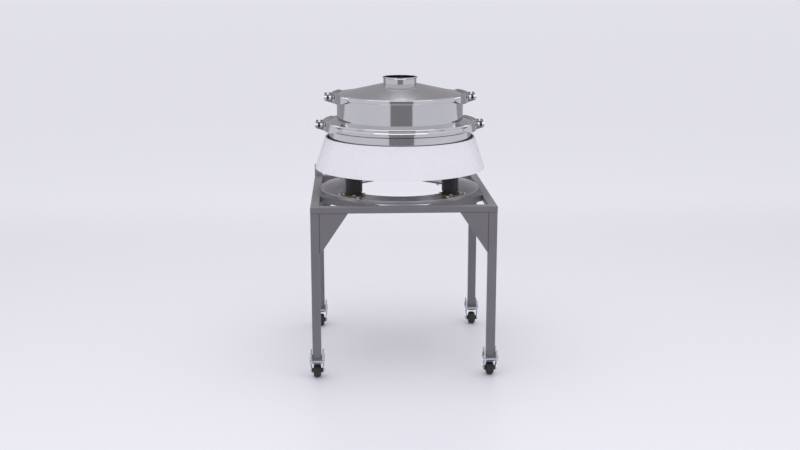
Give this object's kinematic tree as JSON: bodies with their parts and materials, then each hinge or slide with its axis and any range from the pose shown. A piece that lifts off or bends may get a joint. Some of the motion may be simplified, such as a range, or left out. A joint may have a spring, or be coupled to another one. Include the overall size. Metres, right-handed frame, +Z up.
{
  "type": "vibrating sieve",
  "caption": "Round vibrating sieve with lid, clamped feed deck, conical skirt and rubber isolators on a square wheeled frame.",
  "frame": {"origin": "on the floor under the centre of the frame", "axes": "+Z up along the sieve's axis; -Y towards the front, where the skirt's label panel is"},
  "size_m": [0.881, 0.88, 1.3645],
  "materials": {
    "frame_paint": "satin powder coat",
    "satin_stainless": "satin",
    "polished_stainless": "mirror polished",
    "zinc_steel": "bright zinc plate",
    "passivated_flange": "brown passivated plate",
    "isolator_rubber": "moulded, matt",
    "gasket_rubber": "smooth white rubber",
    "screen_wire": "woven wire cloth",
    "skirt_white": "gloss white moulding",
    "motor_paint": "satin enamel",
    "stator_iron": "bare iron",
    "box_plastic": "moulded, fine texture",
    "gland_plastic": "moulded",
    "black_oxide": "black oxide, oiled",
    "caster_steel": "zinc plate, dulled",
    "wheel_rubber": "hard moulded"
  },
  "bodies": {
    "frame": {"top_rails": "frame_paint", "legs": "frame_paint", "corner_gussets": "frame_paint", "corner_braces": "frame_paint", "base_ring": "satin_stainless", "base_ring_bolts": "zinc_steel", "isolator_lower_flanges": "passivated_flange", "isolator_foot_bolts": "zinc_steel", "leg_foot_plates": "frame_paint", "caster_top_plates": "zinc_steel", "caster_plate_bolts": "zinc_steel", "junction_box": "box_plastic", "junction_box_cover": "box_plastic", "cable_gland": "gland_plastic", "isolator_sleeves": "isolator_rubber"},
    "sieve": {"isolator_upper_flanges": "passivated_flange", "isolator_head_bolts": "zinc_steel", "drive_plate": "satin_stainless", "motor_housings": "motor_paint", "motor_stators": "stator_iron", "motor_bearings": "zinc_steel", "motor_end_covers": "motor_paint", "motor_foot_bolts": "zinc_steel", "base_housing": "polished_stainless", "discharge_cone": "polished_stainless", "mesh_ring": "satin_stainless", "screen_mesh": "screen_wire", "gaskets": "gasket_rubber", "feed_deck": "polished_stainless", "lid": "polished_stainless", "inlet_ferrule": "polished_stainless", "skirt": "skirt_white", "skirt_flange": "satin_stainless", "lower_clamp_front": "polished_stainless", "lower_clamp_rear": "polished_stainless", "upper_clamp_front": "polished_stainless", "upper_clamp_rear": "polished_stainless", "clamp_pivot_pins": "zinc_steel"},
    "left_rotor": {"left_motor_rotor": "stator_iron"},
    "right_rotor": {"right_motor_rotor": "stator_iron"},
    "lower_left_swing_bolt": {"lower_left_swing_bolt": "black_oxide", "lower_left_wing_nut": "zinc_steel"},
    "lower_right_swing_bolt": {"lower_right_swing_bolt": "black_oxide", "lower_right_wing_nut": "zinc_steel"},
    "upper_left_swing_bolt": {"upper_left_swing_bolt": "black_oxide", "upper_left_wing_nut": "zinc_steel"},
    "upper_right_swing_bolt": {"upper_right_swing_bolt": "black_oxide", "upper_right_wing_nut": "zinc_steel"},
    "front_left_caster": {"front_left_caster_fork": "caster_steel", "front_left_caster_axle": "zinc_steel"},
    "front_left_wheel": {"front_left_caster_wheel": "wheel_rubber"},
    "front_right_caster": {"front_right_caster_fork": "caster_steel", "front_right_caster_axle": "zinc_steel"},
    "front_right_wheel": {"front_right_caster_wheel": "wheel_rubber"},
    "rear_left_caster": {"rear_left_caster_fork": "caster_steel", "rear_left_caster_axle": "zinc_steel"},
    "rear_left_wheel": {"rear_left_caster_wheel": "wheel_rubber"},
    "rear_right_caster": {"rear_right_caster_fork": "caster_steel", "rear_right_caster_axle": "zinc_steel"},
    "rear_right_wheel": {"rear_right_caster_wheel": "wheel_rubber"}
  },
  "joints": [
    {"name": "suspension", "type": "slide", "parent": "frame", "child": "sieve", "axis": [0, 0, 1], "range_m": [-0.004, 0.004], "stiffness_N_per_m": 120000, "springref_m": 0.00906, "deforming": ["isolator_sleeves"]},
    {"name": "left_rotor_spin", "type": "hinge", "parent": "sieve", "child": "left_rotor", "pos_m": [-0.262, 0, 0.998], "axis": [0, 1, 0], "continuous": true},
    {"name": "right_rotor_spin", "type": "hinge", "parent": "sieve", "child": "right_rotor", "pos_m": [0.262, 0, 0.998], "axis": [0, 1, 0], "continuous": true},
    {"name": "lower_left_swing_bolt_swing", "type": "hinge", "parent": "sieve", "child": "lower_left_swing_bolt", "pos_m": [-0.388, -0.034, 1.1365], "axis": [1, 0, 0], "range_deg": [0, 110]},
    {"name": "lower_right_swing_bolt_swing", "type": "hinge", "parent": "sieve", "child": "lower_right_swing_bolt", "pos_m": [0.388, -0.034, 1.1365], "axis": [1, 0, 0], "range_deg": [0, 110]},
    {"name": "upper_left_swing_bolt_swing", "type": "hinge", "parent": "sieve", "child": "upper_left_swing_bolt", "pos_m": [-0.345, -0.034, 1.268], "axis": [1, 0, 0], "range_deg": [0, 110]},
    {"name": "upper_right_swing_bolt_swing", "type": "hinge", "parent": "sieve", "child": "upper_right_swing_bolt", "pos_m": [0.345, -0.034, 1.268], "axis": [1, 0, 0], "range_deg": [0, 110]},
    {"name": "front_left_swivel", "type": "hinge", "parent": "frame", "child": "front_left_caster", "pos_m": [-0.405, -0.405, 0.078], "axis": [0, 0, 1], "continuous": true},
    {"name": "front_left_roll", "type": "hinge", "parent": "front_left_caster", "child": "front_left_wheel", "pos_m": [-0.405, -0.391, 0.032], "axis": [1, 0, 0], "continuous": true},
    {"name": "front_right_swivel", "type": "hinge", "parent": "frame", "child": "front_right_caster", "pos_m": [0.405, -0.405, 0.078], "axis": [0, 0, 1], "continuous": true},
    {"name": "front_right_roll", "type": "hinge", "parent": "front_right_caster", "child": "front_right_wheel", "pos_m": [0.405, -0.391, 0.032], "axis": [1, 0, 0], "continuous": true},
    {"name": "rear_left_swivel", "type": "hinge", "parent": "frame", "child": "rear_left_caster", "pos_m": [-0.405, 0.405, 0.078], "axis": [0, 0, 1], "continuous": true},
    {"name": "rear_left_roll", "type": "hinge", "parent": "rear_left_caster", "child": "rear_left_wheel", "pos_m": [-0.405, 0.391, 0.032], "axis": [1, 0, 0], "continuous": true},
    {"name": "rear_right_swivel", "type": "hinge", "parent": "frame", "child": "rear_right_caster", "pos_m": [0.405, 0.405, 0.078], "axis": [0, 0, 1], "continuous": true},
    {"name": "rear_right_roll", "type": "hinge", "parent": "rear_right_caster", "child": "rear_right_wheel", "pos_m": [0.405, 0.391, 0.032], "axis": [1, 0, 0], "continuous": true}
  ],
  "couplings": [
    {"joint": "right_rotor_spin", "follows": "left_rotor_spin", "ratio": -1}
  ]
}
